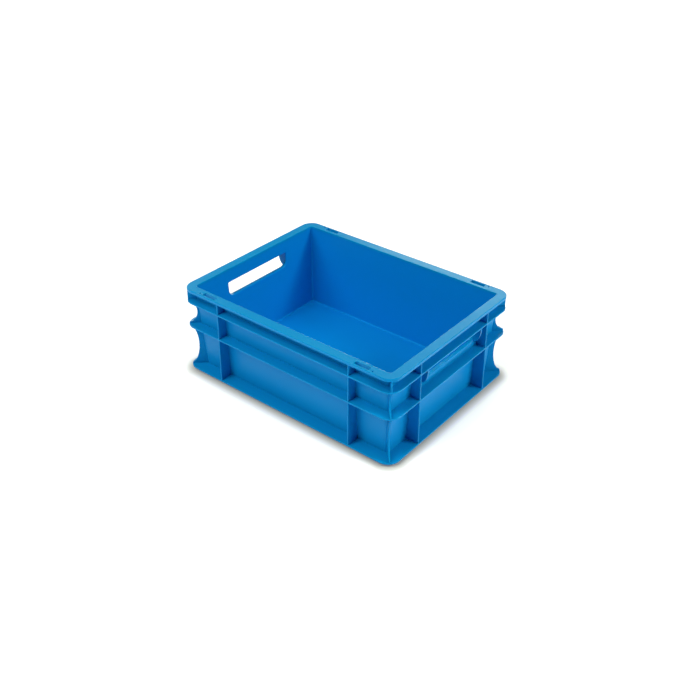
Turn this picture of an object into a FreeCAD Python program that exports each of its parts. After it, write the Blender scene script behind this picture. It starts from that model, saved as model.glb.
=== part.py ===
import FreeCAD, Part
import math
import os

from FreeCAD import Vector

# Euro stacking container, moulded in one piece. Millimetres, +Z up, origin at the middle
# of the stacking foot's underside, X along the long sides, Y along the short ones.

# Outline that the rim and all rings share
LENGTH = 400.0
WIDTH = 300.0
HEIGHT = 145.0
CORNER_RADIUS = 20.0

# Tub
WALL = 2.4
WALL_LEAN = 8.5
TUB_CORNER_RADIUS = 4.0
FLOOR_THICKNESS = 2.6
FLOOR_BEND = 3.0

# Stacking foot, which drops into the mouth of the container below
FOOT_HEIGHT = 2.6
FOOT_THICKNESS = 3.0
FOOT_CLEARANCE = 1.2
FOOT_CORNER_RADIUS = 6.5

# Rim: a flat flange with a lip turned down along its outer edge
RIM_WIDTH = 15.5
RIM_THICKNESS = 3.0
LIP_HEIGHT = 5.0
LIP_THICKNESS = 3.0
RIM_ROUND = 1.0
LIP_BEVEL = 0.7

# Rings round the outside
RING_THICKNESS = 2.5
RING_BEVEL = 0.5
UPPER_RING_DEPTH = 22.9
MIDDLE_RING_DEPTH = 65.6
BASE_RING_LIFT = 4.0

# Upright fins
FIN_THICKNESS = 2.2
FIN_SETBACK = 0.3
FIN_BEVEL = 0.6
LONG_SIDE_FIN_FROM_END = 75.5
SHORT_SIDE_FIN_FROM_CHEEK = 15.5

# Corner fins, scalloped between the rings
SCALLOP_MARGIN = 2.85
UPPER_SCALLOP_DEPTH = 13.0
LOWER_SCALLOP_DEPTH = 12.2
FIN_TIP_ROUND = 2.0

# Hand holes under the upper ring of both short sides
HAND_HOLE_WIDTH = 133.0
HAND_HOLE_HEIGHT = 23.5
HAND_HOLE_LOWER_RADIUS = 10.0
HAND_HOLE_UPPER_RADIUS = 1.5
HAND_HOLE_EDGE_ROUND = 2.4

# Collar round each hand hole: two cheeks and a sill
CHEEK_THICKNESS = 2.5
SILL_HEIGHT = 6.3
SILL_SETBACK = 12.0
SILL_ROUND = 1.2

# Slots and pin holes through the rim's long sides
SLOT_LENGTH = 25.0
SLOT_WIDTH = 6.8
SLOT_FROM_END = 55.5
SLOT_FROM_LIP = 0.25
SLOT_CORNER_RADIUS = 1.0
PIN_HOLE_DIAMETER = 2.8
PIN_HOLE_FROM_END = 37.0
PIN_HOLE_FROM_SIDE = 4.5

# Heights that follow from the sizes above
FLOOR_TOP = FOOT_HEIGHT + FLOOR_THICKNESS
BASE_RING_TOP = BASE_RING_LIFT + RING_THICKNESS
MIDDLE_RING_BASE = HEIGHT - MIDDLE_RING_DEPTH - RING_THICKNESS / 2
MIDDLE_RING_TOP = MIDDLE_RING_BASE + RING_THICKNESS
UPPER_RING_BASE = HEIGHT - UPPER_RING_DEPTH - RING_THICKNESS / 2
RIM_BASE = HEIGHT - RIM_THICKNESS
LIP_BASE = HEIGHT - LIP_HEIGHT
SILL_TOP = UPPER_RING_BASE - HAND_HOLE_HEIGHT
SILL_BASE = SILL_TOP - SILL_HEIGHT

# How far a cutting tool runs past the face that it opens
OVERRUN = 1.0

# How far inside the outline a fin or a cutting tool starts, well clear of the wall
REACH_IN = 2 * (RIM_WIDTH + WALL_LEAN)

# Faces and edges closer than this lie at the same place
SAME_PLACE = 1e-3


def inner_inset(z):
    """Distance from the outline to the inside of the wall at a height."""
    return RIM_WIDTH + WALL_LEAN * (HEIGHT - z) / (HEIGHT - FLOOR_TOP)


def rounded_loop(corners):
    """Closed wire through corner points, each rounded by the radius given with it."""
    starts, middles, ends = [], [], []
    for index, (point, radius) in enumerate(corners):
        back = (corners[index - 1][0] - point).normalize()
        ahead = (corners[(index + 1) % len(corners)][0] - point).normalize()
        half_angle = back.getAngle(ahead) / 2
        bisector = (back + ahead).normalize()
        reach = radius / math.tan(half_angle)
        starts.append(point + back * reach)
        middles.append(point + bisector * (radius / math.sin(half_angle) - radius))
        ends.append(point + ahead * reach)
    edges = []
    for index in range(len(corners)):
        edges.append(Part.Arc(starts[index], middles[index], ends[index]).toShape())
        following = (index + 1) % len(corners)
        edges.append(Part.LineSegment(ends[index], starts[following]).toShape())
    return Part.Wire(edges)


def plan_loop(inset, radius, z):
    """Rounded rectangle, set in from the outline, at a height."""
    x = LENGTH / 2 - inset
    y = WIDTH / 2 - inset
    corners = [Vector(x, -y, z), Vector(x, y, z), Vector(-x, y, z), Vector(-x, -y, z)]
    return rounded_loop([(corner, radius) for corner in corners])


def plan_plate(inset, radius, base, top):
    """Flat plate in the shape of a rounded rectangle."""
    return Part.Face(plan_loop(inset, radius, base)).extrude(Vector(0, 0, top - base))


def edges_at(shape, z):
    """Edges of a shape that lie flat at a height."""
    boxes = [(edge, edge.BoundBox) for edge in shape.Edges]
    return [edge for edge, box in boxes if abs(box.ZMin - z) + abs(box.ZMax - z) < SAME_PLACE]


def tapered_block(base, top, offset):
    """Block that follows the inside of the wall, grown outwards by an offset."""
    insets = [inner_inset(z) - offset for z in (base, top)]
    x_low, x_high = [LENGTH / 2 - inset for inset in insets]
    y_low, y_high = [WIDTH / 2 - inset for inset in insets]
    block = Part.makeWedge(-x_low, base, -y_low, -y_high, -x_high, x_low, top, y_low, y_high, x_high)
    block.rotate(Vector(0, 0, 0), Vector(1, 0, 0), 90)
    corners = [edge for edge in block.Edges if edge.BoundBox.ZLength > (top - base) / 2]
    return block.makeFillet(TUB_CORNER_RADIUS + offset, corners)


def cavity():
    """Space inside the tub, with a bend between walls and floor."""
    space = tapered_block(FLOOR_TOP, HEIGHT + OVERRUN, 0.0)
    return space.makeFillet(FLOOR_BEND, edges_at(space, FLOOR_TOP))


def ring(base):
    """Ring round the tub at a height, with bevelled outer edges."""
    plate = plan_plate(0.0, CORNER_RADIUS, base, base + RING_THICKNESS)
    return plate.makeChamfer(RING_BEVEL, edges_at(plate, base) + edges_at(plate, base + RING_THICKNESS))


def rim():
    """Flange with its lip, open underneath between the lip and the wall."""
    block = plan_plate(0.0, CORNER_RADIUS, LIP_BASE, HEIGHT)
    block = block.makeFillet(RIM_ROUND, edges_at(block, HEIGHT))
    block = block.makeChamfer(LIP_BEVEL, edges_at(block, LIP_BASE))
    hollow = plan_plate(LIP_THICKNESS, CORNER_RADIUS - LIP_THICKNESS, LIP_BASE - OVERRUN, RIM_BASE)
    return block.cut(hollow)


def foot():
    """Floor plate with the stacking foot along its border."""
    inset = RIM_WIDTH + FOOT_CLEARANCE
    plate = plan_plate(inset, FOOT_CORNER_RADIUS, 0.0, FLOOR_TOP)
    inner_corner = FOOT_CORNER_RADIUS - FOOT_THICKNESS
    recess = plan_plate(inset + FOOT_THICKNESS, inner_corner, -OVERRUN, FOOT_HEIGHT)
    return plate.cut(recess)


def upright_edges(shape):
    """Edges of a shape that stand upright."""
    return [edge for edge in shape.Edges if edge.BoundBox.ZLength > edge.Length - SAME_PLACE]


def upright_fin(length, width, x, y):
    """Fin that crosses the whole tub, its ends a little behind the rings' edges."""
    height = HEIGHT - RIM_THICKNESS / 2 - BASE_RING_LIFT - RING_THICKNESS / 2
    corner = Vector(x - length / 2, y - width / 2, BASE_RING_LIFT + RING_THICKNESS / 2)
    fin = Part.makeBox(length, width, height, corner)
    return fin.makeChamfer(FIN_BEVEL, upright_edges(fin))


def side_fins():
    """Two fins on each side, mirrored about the middle."""
    fin_x = LENGTH / 2 - LONG_SIDE_FIN_FROM_END
    fin_y = HAND_HOLE_WIDTH / 2 + CHEEK_THICKNESS + SHORT_SIDE_FIN_FROM_CHEEK
    fins = []
    for side in (-1, 1):
        fins.append(upright_fin(FIN_THICKNESS, WIDTH - 2 * FIN_SETBACK, side * fin_x, 0.0))
        fins.append(upright_fin(LENGTH - 2 * FIN_SETBACK, FIN_THICKNESS, 0.0, side * fin_y))
    return fins


def half_ellipse_prism(centre, bulge, rise, direction):
    """Prism over half an ellipse that bulges from an upright line, closed a little behind it."""
    upright = Vector(0, 0, rise)
    if rise > bulge.Length:
        ellipse = Part.Ellipse(centre + upright, centre + bulge, centre)
        arc = Part.ArcOfEllipse(ellipse, 0, math.pi)
    else:
        ellipse = Part.Ellipse(centre + bulge, centre + upright, centre)
        arc = Part.ArcOfEllipse(ellipse, -math.pi / 2, math.pi / 2)
    start, end = arc.StartPoint, arc.EndPoint
    back = bulge * (-OVERRUN / bulge.Length)
    points = [end, end + back, start + back, start]
    lines = [Part.LineSegment(a, b).toShape() for a, b in zip(points, points[1:])]
    return Part.Face(Part.Wire([arc.toShape()] + lines)).extrude(direction)


def scallop(base, top, depth):
    """Half-elliptical bite out of a fin's outer edge, between two heights."""
    centre = Vector(CORNER_RADIUS - FIN_SETBACK, -FIN_THICKNESS, (base + top) / 2)
    across = Vector(0, 2 * FIN_THICKNESS, 0)
    return half_ellipse_prism(centre, Vector(-depth, 0, 0), (top - base) / 2, across)


def corner_fin():
    """Scalloped fin on the X axis, with the centre of the rim's corner arc as its origin."""
    tip = CORNER_RADIUS - FIN_SETBACK
    base = BASE_RING_LIFT + RING_THICKNESS / 2
    height = HEIGHT - RIM_THICKNESS / 2 - base
    root = Vector(tip - REACH_IN, -FIN_THICKNESS / 2, base)
    fin = Part.makeBox(REACH_IN, FIN_THICKNESS, height, root)
    lower = (BASE_RING_TOP + SCALLOP_MARGIN, MIDDLE_RING_BASE - SCALLOP_MARGIN)
    upper = (MIDDLE_RING_TOP + SCALLOP_MARGIN, UPPER_RING_BASE - SCALLOP_MARGIN)
    fin = fin.cut(scallop(*lower, LOWER_SCALLOP_DEPTH)).cut(scallop(*upper, UPPER_SCALLOP_DEPTH))
    tips = [edge for height_at in lower + upper for edge in edges_at(fin, height_at)
            if edge.BoundBox.XMin > tip - SAME_PLACE]
    return fin.makeFillet(FIN_TIP_ROUND, tips)


def corner_fins():
    """One scalloped fin on the diagonal of each corner."""
    centre_x = LENGTH / 2 - CORNER_RADIUS
    centre_y = WIDTH / 2 - CORNER_RADIUS
    fins = []
    for side_x, side_y in ((1, 1), (-1, 1), (-1, -1), (1, -1)):
        fin = corner_fin()
        fin.rotate(Vector(0, 0, 0), Vector(0, 0, 1), math.degrees(math.atan2(side_y, side_x)))
        fin.translate(Vector(side_x * centre_x, side_y * centre_y, 0))
        fins.append(fin)
    return fins


def upright_plate(x_from, x_to, half_width, base, top, lower_radius, upper_radius):
    """Plate across X with rounded corners, from one X to another."""
    corners = [(Vector(x_from, -half_width, base), lower_radius),
               (Vector(x_from, half_width, base), lower_radius),
               (Vector(x_from, half_width, top), upper_radius),
               (Vector(x_from, -half_width, top), upper_radius)]
    return Part.Face(rounded_loop(corners)).extrude(Vector(x_to - x_from, 0, 0))


def hand_hole(x_from, x_to):
    """Space of the hand hole between two X."""
    return upright_plate(x_from, x_to, HAND_HOLE_WIDTH / 2, SILL_TOP, UPPER_RING_BASE,
                         HAND_HOLE_LOWER_RADIUS, HAND_HOLE_UPPER_RADIUS)


def collar():
    """Collar of the hand hole at +X: a rounded frame and two cheeks that sweep up to the ring."""
    face_x = LENGTH / 2 - SILL_SETBACK
    root_x = LENGTH / 2 - inner_inset(SILL_TOP)
    outer_half = HAND_HOLE_WIDTH / 2 + CHEEK_THICKNESS
    frame_top = UPPER_RING_BASE + CHEEK_THICKNESS
    outer_radius = HAND_HOLE_LOWER_RADIUS + CHEEK_THICKNESS
    body = upright_plate(root_x, face_x, outer_half, SILL_BASE, frame_top,
                         outer_radius, HAND_HOLE_UPPER_RADIUS)
    frame = body.cut(hand_hole(root_x - OVERRUN, face_x + OVERRUN))
    front = [edge for edge in frame.Edges if edge.BoundBox.XMin > face_x - SAME_PLACE]
    frame = frame.makeFillet(SILL_ROUND, front)

    sweep_height = HAND_HOLE_HEIGHT + SILL_ROUND
    outline = upright_plate(root_x, LENGTH / 2, outer_half, SILL_BASE, frame_top,
                            outer_radius, HAND_HOLE_UPPER_RADIUS)
    pieces = [frame]
    for side in (-1, 1):
        start_y = min(side * HAND_HOLE_WIDTH / 2, side * outer_half)
        centre = Vector(face_x, start_y, UPPER_RING_BASE)
        sweep = half_ellipse_prism(centre, Vector(SILL_SETBACK, 0, 0), sweep_height,
                                   Vector(0, CHEEK_THICKNESS, 0))
        pieces.append(sweep.common(outline))
    return pieces


def mirrored(shape):
    """A shape and its mirror image on the opposite short side."""
    return [shape, shape.mirror(Vector(0, 0, 0), Vector(1, 0, 0))]


def rim_openings():
    """Slots and pin holes through the rim, near the four corners."""
    slot_x = LENGTH / 2 - SLOT_FROM_END
    slot_outer = WIDTH / 2 - LIP_THICKNESS - SLOT_FROM_LIP
    pin_x = LENGTH / 2 - PIN_HOLE_FROM_END
    pin_y = WIDTH / 2 - PIN_HOLE_FROM_SIDE
    through = Vector(0, 0, RIM_THICKNESS + 2 * OVERRUN)
    base = RIM_BASE - OVERRUN
    tools = []
    for side_x in (-1, 1):
        for side_y in (-1, 1):
            near, far = slot_outer - SLOT_WIDTH, slot_outer
            x_low = side_x * slot_x - SLOT_LENGTH / 2
            x_high = x_low + SLOT_LENGTH
            points = [Vector(x_low, side_y * near, base), Vector(x_high, side_y * near, base),
                      Vector(x_high, side_y * far, base), Vector(x_low, side_y * far, base)]
            outline = rounded_loop([(point, SLOT_CORNER_RADIUS) for point in points])
            tools.append(Part.Face(outline).extrude(through))
            pin = Vector(side_x * pin_x, side_y * pin_y, base)
            tools.append(Part.makeCylinder(PIN_HOLE_DIAMETER / 2, through.Length, pin))
    return tools


def mouth_edges(shape):
    """Inner edges of the rim's top face."""
    limit = LENGTH / 2 - RIM_WIDTH
    found = []
    for edge in edges_at(shape, HEIGHT):
        middle = edge.valueAt((edge.FirstParameter + edge.LastParameter) / 2)
        inset = min(LENGTH / 2 - abs(middle.x), WIDTH / 2 - abs(middle.y))
        at_mouth = RIM_WIDTH - SAME_PLACE < inset < RIM_WIDTH + TUB_CORNER_RADIUS
        if at_mouth and abs(middle.x) < limit + SAME_PLACE:
            found.append(edge)
    return found


def hand_hole_edges(shape):
    """Edges of the hand holes on the inside of the short walls."""
    found = []
    for edge in shape.Edges:
        middle = edge.valueAt((edge.FirstParameter + edge.LastParameter) / 2)
        on_wall = abs(LENGTH / 2 - inner_inset(middle.z) - abs(middle.x)) < SAME_PLACE
        in_height = SILL_TOP - SAME_PLACE < middle.z < UPPER_RING_BASE + SAME_PLACE
        if on_wall and in_height and abs(middle.y) < HAND_HOLE_WIDTH / 2 + SAME_PLACE:
            found.append(edge)
    return found


def container():
    """The whole moulding as one solid."""
    tub = tapered_block(FOOT_HEIGHT, HEIGHT - RIM_THICKNESS / 2, WALL)
    rings = [ring(BASE_RING_LIFT), ring(MIDDLE_RING_BASE), ring(UPPER_RING_BASE)]
    collars = [copy for piece in collar() for copy in mirrored(piece)]
    body = tub.multiFuse([foot(), rim()] + rings + side_fins() + corner_fins() + collars)

    holes = mirrored(hand_hole(LENGTH / 2 - REACH_IN, LENGTH / 2 + OVERRUN))
    body = body.cut(cavity())
    body = body.cut(Part.makeCompound(holes + rim_openings())).removeSplitter()
    body = body.makeFillet(RIM_ROUND, mouth_edges(body))
    body = body.makeFillet(HAND_HOLE_EDGE_ROUND, hand_hole_edges(body))
    return body.Solids[0]


os.makedirs("parts", exist_ok=True)
container().exportStep("parts/container.step")
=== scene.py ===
"""Looks of a euro stacking container, moulded in one piece from blue polypropylene."""
import logging
import math
from dataclasses import dataclass, field
from enum import Enum
from typing import Optional, Union

import bpy
import numpy as np
from mathutils import Matrix, Vector

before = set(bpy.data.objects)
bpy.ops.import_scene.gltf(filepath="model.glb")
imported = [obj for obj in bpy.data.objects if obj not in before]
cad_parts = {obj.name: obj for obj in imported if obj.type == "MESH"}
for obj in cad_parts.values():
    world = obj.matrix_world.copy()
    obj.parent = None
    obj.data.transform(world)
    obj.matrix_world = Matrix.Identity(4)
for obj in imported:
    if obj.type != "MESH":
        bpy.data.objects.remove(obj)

log = logging.getLogger("container")

MM = 0.001
MIX_FACTOR = 0
MIX_FIRST_COLOUR = 6
MIX_SECOND_COLOUR = 7
MIX_COLOUR_RESULT = 2
BLACK = (0.0, 0.0, 0.0)
WHITE = (1.0, 1.0, 1.0)
Colour = tuple[float, float, float]
Number = Union[float, "Value"]


class Operation(Enum):
    """What a Math node does with its inputs."""

    ADD = "ADD"
    SUBTRACT = "SUBTRACT"
    MULTIPLY = "MULTIPLY"
    ABSOLUTE = "ABSOLUTE"
    MINIMUM = "MINIMUM"
    MAXIMUM = "MAXIMUM"
    ROOT = "SQRT"


class Value:
    """A number in a material's node tree that Python's operators build on."""

    def __init__(self, shader: "Shader", socket: bpy.types.NodeSocket) -> None:
        """Keep the tree's builder and the socket that gives the number."""
        self.shader = shader
        self.socket = socket

    def _math(self, operation: Operation, first: Number,
              second: Optional[Number] = None) -> "Value":
        """Add a Math node.

        Args:
            operation: the Math node's operation.
            first: its first input.
            second: its second input, if it has one.

        Returns:
            The node's result.
        """
        inputs = {0: first} if second is None else {0: first, 1: second}
        node = self.shader.node("ShaderNodeMath", {"operation": operation.value}, inputs)
        return Value(self.shader, node.outputs[0])

    def __add__(self, other: Number) -> "Value":
        """Sum."""
        return self._math(Operation.ADD, self, other)

    def __radd__(self, other: Number) -> "Value":
        """Sum, with the number first."""
        return self._math(Operation.ADD, other, self)

    def __sub__(self, other: Number) -> "Value":
        """Difference."""
        return self._math(Operation.SUBTRACT, self, other)

    def __rsub__(self, other: Number) -> "Value":
        """Difference, with the number first."""
        return self._math(Operation.SUBTRACT, other, self)

    def __mul__(self, other: Number) -> "Value":
        """Product."""
        return self._math(Operation.MULTIPLY, self, other)

    def __rmul__(self, other: Number) -> "Value":
        """Product, with the number first."""
        return self._math(Operation.MULTIPLY, other, self)

    def absolute(self) -> "Value":
        """Size without sign."""
        return self._math(Operation.ABSOLUTE, self)

    def lower(self, other: Number) -> "Value":
        """The lower of two."""
        return self._math(Operation.MINIMUM, self, other)

    def root(self) -> "Value":
        """Square root."""
        return self._math(Operation.ROOT, self)

    def higher(self, other: Number) -> "Value":
        """The higher of two."""
        return self._math(Operation.MAXIMUM, self, other)

    def mapped(self, low: float, high: float, to_low: float, to_high: float) -> "Value":
        """Carry one range over to another, with a smooth start and end.

        Args:
            low: start of the range read.
            high: end of the range read.
            to_low: what its start becomes.
            to_high: what its end becomes.

        Returns:
            The mapped number, held between the new ends.
        """
        inputs = {"Value": self, "From Min": low, "From Max": high}
        inputs.update({"To Min": to_low, "To Max": to_high})
        node = self.shader.node("ShaderNodeMapRange", {"interpolation_type": "SMOOTHSTEP"}, inputs)
        return Value(self.shader, node.outputs["Result"])


class Shader:
    """Builds one material's node tree."""

    def __init__(self, name: str) -> None:
        """Start an empty material with a Principled surface."""
        self.material = bpy.data.materials.new(name)
        self.material.use_nodes = True
        self.tree = self.material.node_tree
        self.tree.nodes.clear()
        output = self.tree.nodes.new("ShaderNodeOutputMaterial")
        self.surface = self.tree.nodes.new("ShaderNodeBsdfPrincipled")
        self.tree.links.new(self.surface.outputs[0], output.inputs["Surface"])

    def node(self, kind: str, settings: dict[str, object], inputs: dict) -> bpy.types.Node:
        """Add any node.

        Args:
            kind: the node's type.
            settings: its own settings, set before its sockets.
            inputs: a number, colour, Value or socket for each socket, by name or place.

        Returns:
            The new node.
        """
        made = self.tree.nodes.new(kind)
        for key, setting in settings.items():
            setattr(made, key, setting)
        for key, given in inputs.items():
            self.feed(made.inputs[key], given)
        return made

    def feed(self, socket: bpy.types.NodeSocket, given: object) -> None:
        """Link a socket, or set its value.

        Args:
            socket: the socket to feed.
            given: a Value or socket to link, or a plain value to set.
        """
        if isinstance(given, Value):
            self.tree.links.new(given.socket, socket)
        elif isinstance(given, bpy.types.NodeSocket):
            self.tree.links.new(given, socket)
        elif isinstance(given, tuple) and socket.type == "RGBA":
            socket.default_value = (*given, 1.0)
        else:
            socket.default_value = given

    def place(self) -> tuple[Value, Value, Value]:
        """Where a point lies on the object, as its X, Y and Z in metres."""
        coordinates = self.node("ShaderNodeTexCoord", {}, {})
        split = self.node("ShaderNodeSeparateXYZ", {}, {0: coordinates.outputs["Object"]})
        return tuple(Value(self, output) for output in split.outputs)

    def noise(self, size: float, detail: float = 2.0, roughness: float = 0.5,
              stretch: tuple[float, float, float] = (1.0, 1.0, 1.0)) -> Value:
        """Noise in the object's own space.

        Args:
            size: how large one cell is, in metres.
            detail: how many finer layers it has.
            roughness: how strong the finer layers are.
            stretch: how many times longer a cell is along X, Y and Z.

        Returns:
            The noise, from 0 to 1.
        """
        coordinates = self.node("ShaderNodeTexCoord", {}, {})
        scale = tuple(1.0 / length for length in stretch)
        where = {"Vector": coordinates.outputs["Object"], "Scale": scale}
        mapping = self.node("ShaderNodeMapping", {}, where)
        inputs = {"Vector": mapping.outputs[0], "Scale": 1.0 / size}
        inputs.update({"Detail": detail, "Roughness": roughness})
        made = self.node("ShaderNodeTexNoise", {}, inputs)
        return Value(self, made.outputs[0])

    def mixed(self, share: Number, first: object, second: object) -> bpy.types.NodeSocket:
        """Mix two colours.

        Args:
            share: how much of the second is taken, from 0 to 1.
            first: a colour or a colour socket.
            second: a colour or a colour socket.

        Returns:
            The mixed colour's socket.
        """
        inputs = {MIX_FACTOR: share, MIX_FIRST_COLOUR: first, MIX_SECOND_COLOUR: second}
        made = self.node("ShaderNodeMix", {"data_type": "RGBA"}, inputs)
        return made.outputs[MIX_COLOUR_RESULT]

    def bump(self, height: Value, distance: float, strength: float,
             under: Optional[bpy.types.NodeSocket] = None) -> bpy.types.NodeSocket:
        """Raise a surface by a height.

        Args:
            height: the height, from 0 to 1.
            distance: how far a height of 1 stands out, in metres.
            strength: how much of it shows.
            under: the normal of another bump, which this one lies on.

        Returns:
            The normal's socket.
        """
        inputs = {"Height": height, "Distance": distance, "Strength": strength}
        if under is not None:
            inputs["Normal"] = under
        return self.node("ShaderNodeBump", {}, inputs).outputs[0]


def round_inset(x: Value, y: Value, half_x: Number, half_y: Number, radius: float) -> Value:
    """Measure how far a point lies inside a rectangle with round corners.

    It is the corners' radius less the length of what lies outside an inner rectangle, which
    is smaller by that radius on every side.

    Args:
        x: place along the rectangle's length, in metres.
        y: place along its width, in metres.
        half_x: half its length, in metres.
        half_y: half its width, in metres.
        radius: radius of its corners, in metres.

    Returns:
        The distance, negative outside and never more than the radius.
    """
    across = (x.absolute() - (half_x - radius)).higher(0.0)
    along = (y.absolute() - (half_y - radius)).higher(0.0)
    return radius - (across * across + along * along).root()


@dataclass(frozen=True)
class TubSection:
    """Where the tub's walls and rings run, so that the finish can follow them."""

    half_length: float = 0.200
    half_width: float = 0.150
    height: float = 0.145
    rim_width: float = 0.0155
    lean: float = 0.0085
    half_wall: float = 0.0012
    floor_middle: float = 0.0039
    corner_radius: float = 0.0050
    ring_heights: tuple[float, ...] = (0.0053, 0.0807, 0.1234)
    mouth_fade: tuple[float, float] = (0.139, 0.1445)
    seam: float = 0.0002

    def inside(self, x: Value, y: Value, z: Value) -> Value:
        """Tell the inner faces from the outer ones.

        The walls lean in a straight line from the rim to the floor. A point counts as inside
        where it lies inward of the middle of the walls and above the middle of the floor, and
        the mask fades out just below the rim.

        Args:
            x: place along the length, in metres.
            y: place along the width, in metres.
            z: height, in metres.

        Returns:
            1 inside and 0 outside.
        """
        edge = self.rim_width - self.half_wall + (self.height - z) * (self.lean / self.height)
        half_x = self.half_length - edge
        half_y = self.half_width - edge
        depth = round_inset(x, y, half_x, half_y, self.corner_radius).lower(z - self.floor_middle)
        below_mouth = z.mapped(*self.mouth_fade, 1.0, 0.0)
        return depth.mapped(-self.seam, self.seam, 0.0, 1.0) * below_mouth

    def sinks(self, z: Value, reach: float) -> Value:
        """Find the faint hollows that shrinkage leaves opposite the rings.

        Args:
            z: height, in metres.
            reach: how far a hollow reaches above and below its ring, in metres.

        Returns:
            1 in the middle of a hollow, falling to 0 at its reach.
        """
        nearest = (z - self.ring_heights[0]).absolute()
        for height in self.ring_heights[1:]:
            nearest = nearest.lower((z - height).absolute())
        return nearest.mapped(0.0, reach, 1.0, 0.0)


@dataclass(frozen=True)
class MouldedPolypropylene:
    """Satin blue polypropylene with a fine moulded grain.

    The inner faces carry a bluer painted tint, which stands in for the light bounced round
    inside the tub, and have faint sink marks opposite the rings.
    """

    colour: Colour = (0.0010, 0.173, 0.535)
    pale_colour: Colour = (0.0016, 0.187, 0.560)
    # Painted tint of the blue light bounced round inside the tub, used on the inner faces.
    inner_bounce_tint: Colour = (0.0008, 0.172, 0.640)
    gloss: float = 0.20
    gloss_tint: Colour = (0.05, 0.75, 1.0)
    refraction: float = 1.49
    roughness: float = 0.34
    roughness_by_grain: float = 0.10
    roughness_by_flow: float = 0.06
    flow_size: float = 0.09
    flow_stretch: tuple[float, float, float] = (2.5, 1.0, 1.0)
    flow_range: tuple[float, float] = (0.3, 0.7)
    grain_size: float = 0.0006
    grain_height: float = 0.00002
    ripple_size: float = 0.014
    ripple_height: float = 0.00006
    sink_reach: float = 0.004
    sink_height: float = 0.00005
    section: TubSection = field(default_factory=TubSection)

    def build(self) -> bpy.types.Material:
        """Make the material.

        Returns:
            The finished material.
        """
        shader = Shader("moulded_polypropylene")
        surface = shader.surface
        x, y, z = shader.place()
        inside = self.section.inside(x, y, z)
        flow = shader.noise(self.flow_size, detail=3.0, roughness=0.55, stretch=self.flow_stretch)
        grain = shader.noise(self.grain_size, detail=2.0, roughness=0.6)
        ripple = shader.noise(self.ripple_size, detail=1.0, roughness=0.4)
        paleness = flow.mapped(*self.flow_range, 0.0, 1.0)
        outer = shader.mixed(paleness, self.colour, self.pale_colour)
        # The inner faces take the painted tint of bounced light in place of the outer colour.
        shader.feed(surface.inputs["Base Color"], shader.mixed(inside, outer, self.inner_bounce_tint))
        uneven = self.roughness_by_grain * (grain - 0.5) + self.roughness_by_flow * (flow - 0.5)
        shader.feed(surface.inputs["Roughness"], self.roughness + uneven)
        sink = 1.0 - inside * self.section.sinks(z, self.sink_reach)
        hollows = shader.bump(sink, self.sink_height, strength=1.0)
        waves = shader.bump(ripple, self.ripple_height, strength=0.5, under=hollows)
        grained = shader.bump(grain, self.grain_height, strength=0.6, under=waves)
        shader.feed(surface.inputs["Normal"], grained)
        surface.inputs["IOR"].default_value = self.refraction
        surface.inputs["Specular IOR Level"].default_value = self.gloss
        surface.inputs["Specular Tint"].default_value = (*self.gloss_tint, 1.0)
        return shader.material


@dataclass(frozen=True)
class StudioFloor:
    """Pale floor that glows white away from the container and is shaded close round it.

    The painted shadow follows a rectangle with round corners, a little smaller than the base
    ring.
    """

    colour: Colour = (0.78, 0.80, 1.0)
    near_glow: float = 0.24
    far_glow: float = 1.0
    glow_start: float = 0.7
    glow_end: float = 2.2
    outline: tuple[float, float] = (0.198, 0.148)
    outline_radius: float = 0.02
    shade_reach: float = 0.020
    shade_depth: float = 0.42
    roughness: float = 0.9
    gloss: float = 0.1

    def build(self) -> bpy.types.Material:
        """Make the material.

        Returns:
            The finished material.
        """
        shader = Shader("studio_floor")
        surface = shader.surface
        x, y, _ = shader.place()
        # Painted shadow: in a band round the container's base the floor's colour and glow are
        # darkened, standing in for its contact shadow.
        inset = round_inset(x, y, *self.outline, self.outline_radius)
        shade = inset.mapped(-self.shade_reach, 0.0, 1.0, self.shade_depth)
        reach = (x * x + y * y).root()
        glow = shade * reach.mapped(self.glow_start, self.glow_end, self.near_glow, self.far_glow)
        shader.feed(surface.inputs["Base Color"], shader.mixed(shade, BLACK, self.colour))
        shader.feed(surface.inputs["Emission Color"], shader.mixed(glow, BLACK, WHITE))
        surface.inputs["Emission Strength"].default_value = 1.0
        surface.inputs["Roughness"].default_value = self.roughness
        surface.inputs["Specular IOR Level"].default_value = self.gloss
        return shader.material


@dataclass(frozen=True)
class StudioBackdrop:
    """White backdrop that lights itself."""

    glow: float = 1.3

    def build(self) -> bpy.types.Material:
        """Make the material.

        Returns:
            The finished material.
        """
        shader = Shader("studio_backdrop")
        surface = shader.surface
        shader.feed(surface.inputs["Base Color"], BLACK)
        shader.feed(surface.inputs["Emission Color"], WHITE)
        surface.inputs["Emission Strength"].default_value = self.glow
        surface.inputs["Specular IOR Level"].default_value = 0.0
        return shader.material


@dataclass
class Container:
    """The container's one moulding, which the frame holds."""

    node: str = "container"
    finish: MouldedPolypropylene = field(default_factory=MouldedPolypropylene)

    def dress(self) -> bpy.types.Object:
        """Give the moulding its finish.

        Returns:
            The dressed object.
        """
        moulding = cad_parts[self.node]
        moulding.data.materials.clear()
        moulding.data.materials.append(self.finish.build())
        return moulding


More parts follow.
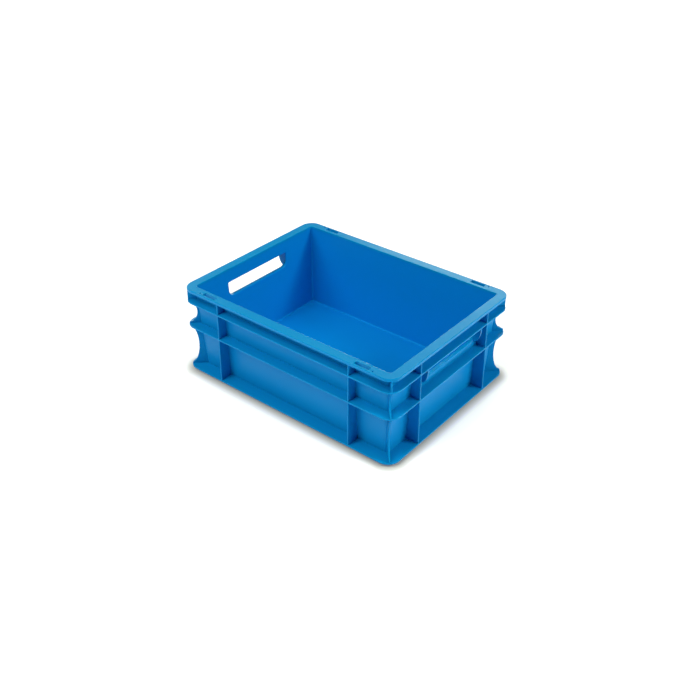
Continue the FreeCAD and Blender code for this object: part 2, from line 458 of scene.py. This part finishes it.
@dataclass
class Studio:
    """Pale floor inside a round white backdrop."""

    floor_half_width: float = 6.0
    wall_radius: float = 5.0
    wall_height: float = 6.0
    wall_steps: int = 96
    floor_finish: StudioFloor = field(default_factory=StudioFloor)
    wall_finish: StudioBackdrop = field(default_factory=StudioBackdrop)

    def _staged(self, name: str, points: np.ndarray, quads: np.ndarray,
                finish: bpy.types.Material) -> bpy.types.Object:
        """Put a sheet into the scene as part of the stage.

        Args:
            name: the object's name.
            points: the corners, in metres.
            quads: the corners of each face.
            finish: the sheet's material.

        Returns:
            The staged object.
        """
        mesh = bpy.data.meshes.new(name)
        mesh.from_pydata(points.tolist(), [], quads.tolist())
        mesh.materials.append(finish)
        sheet = bpy.data.objects.new(name, mesh)
        bpy.context.scene.collection.objects.link(sheet)
        return sheet

    def floor(self) -> bpy.types.Object:
        """Make the floor, a level square.

        Returns:
            The staged floor.
        """
        side = self.floor_half_width * np.array([-1.0, 1.0])
        x, y = np.meshgrid(side, side)
        points = np.stack([x, y, np.zeros_like(x)], axis=-1).reshape(-1, 3)
        quads = np.array([[0, 1, 3, 2]])
        return self._staged("studio_floor", points, quads, self.floor_finish.build())

    def wall(self) -> bpy.types.Object:
        """Make the backdrop, a round wall that only the camera sees.

        Its points stand on a circle at two heights, and each face joins two neighbours.

        Returns:
            The staged wall.
        """
        turn = np.linspace(0.0, 2.0 * math.pi, self.wall_steps, endpoint=False)
        ring = self.wall_radius * np.stack([np.cos(turn), np.sin(turn), np.zeros_like(turn)], axis=-1)
        points = np.concatenate([ring, ring + np.array([0.0, 0.0, self.wall_height])])
        low = np.arange(self.wall_steps)
        beside = np.roll(low, -1)
        quads = np.stack([beside, low, low + self.wall_steps, beside + self.wall_steps], axis=-1)
        sheet = self._staged("studio_backdrop", points, quads, self.wall_finish.build())
        sheet.visible_diffuse = False
        sheet.visible_glossy = False
        sheet.visible_shadow = False
        return sheet


@dataclass(frozen=True)
class SoftBox:
    """Rectangular studio light that faces the container."""

    name: str
    azimuth: float
    elevation: float
    width: float
    height: float
    power: float
    distance: float = 2.5
    colour: Colour = (1.0, 1.0, 0.69)
    target: tuple[float, float, float] = (0.0, 0.0, 0.07)

    def build(self) -> bpy.types.Object:
        """Make the light.

        Returns:
            The light's object.
        """
        turn = math.radians(self.azimuth)
        rise = math.radians(self.elevation)
        level = math.cos(rise)
        away = Vector((math.sin(turn) * level, -math.cos(turn) * level, math.sin(rise)))
        data = bpy.data.lights.new(self.name, "AREA")
        data.shape = "RECTANGLE"
        data.size = self.width
        data.size_y = self.height
        data.energy = self.power
        data.color = self.colour
        light = bpy.data.objects.new(self.name, data)
        light.visible_camera = False
        light.location = Vector(self.target) + away * self.distance
        light.rotation_euler = away.to_track_quat("Z", "Y").to_euler()
        bpy.context.scene.collection.objects.link(light)
        return light


@dataclass(frozen=True)
class StudioCamera:
    """Camera at the photograph's viewing angle."""

    place_mm: tuple[float, float, float] = (795.84, -987.12, 866.28)
    azimuth: float = 38.59
    elevation: float = 26.97
    roll: float = 0.25
    lens: float = 49.59
    sensor: float = 36.0
    shift_up: float = -0.15
    nearest: float = 0.05
    farthest: float = 50.0

    def build(self) -> bpy.types.Object:
        """Make the camera and use it.

        Returns:
            The camera's object.
        """
        data = bpy.data.cameras.new("studio_camera")
        data.lens = self.lens
        data.sensor_width = self.sensor
        data.shift_y = self.shift_up
        data.clip_start = self.nearest
        data.clip_end = self.farthest
        camera = bpy.data.objects.new("studio_camera", data)
        turn = Matrix.Rotation(math.radians(self.azimuth), 4, "Z")
        tilt = Matrix.Rotation(math.radians(90.0 - self.elevation), 4, "X")
        roll = Matrix.Rotation(math.radians(self.roll), 4, "Z")
        camera.matrix_world = Matrix.Translation(Vector(self.place_mm) * MM) @ turn @ tilt @ roll
        bpy.context.scene.collection.objects.link(camera)
        bpy.context.scene.camera = camera
        return camera


SOFT_BOXES = (
    SoftBox("overhead", azimuth=0.0, elevation=90.0, width=1.6, height=1.6, power=16.5),
    SoftBox("behind_low", azimuth=205.0, elevation=12.0, width=0.9, height=0.9, power=28.0),
    SoftBox("left_low", azimuth=248.0, elevation=12.0, width=0.9, height=0.9, power=24.0),
    SoftBox("left_high", azimuth=308.0, elevation=54.0, width=0.9, height=0.9, power=9.0),
    SoftBox("front", azimuth=338.0, elevation=34.0, width=0.9, height=0.9, power=23.0),
    SoftBox("front_high", azimuth=353.0, elevation=54.0, width=0.9, height=0.9, power=31.0),
    SoftBox("right_low", azimuth=98.0, elevation=12.0, width=0.9, height=0.9, power=8.0),
    SoftBox("right", azimuth=98.0, elevation=32.0, width=0.9, height=0.9, power=13.5),
    SoftBox("right_key", azimuth=115.0, elevation=32.0, width=0.5, height=0.5, power=34.0),
    SoftBox("right_high", azimuth=83.0, elevation=54.0, width=0.9, height=0.9, power=4.5),
)


def main() -> None:
    """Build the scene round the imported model."""
    logging.basicConfig(level=logging.INFO, format="%(name)s: %(message)s")
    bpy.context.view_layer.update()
    bpy.context.scene.view_settings.view_transform = "Standard"

    moulding = Container().dress()
    log.info("dressed %s", moulding.name)
    view = StudioCamera()
    log.info("camera %s", view.build().name)
    studio = Studio()
    log.info("staged %s and %s", studio.floor().name, studio.wall().name)
    for box in SOFT_BOXES:
        log.info("light %s", box.build().name)


if __name__ == "__main__":
    main()
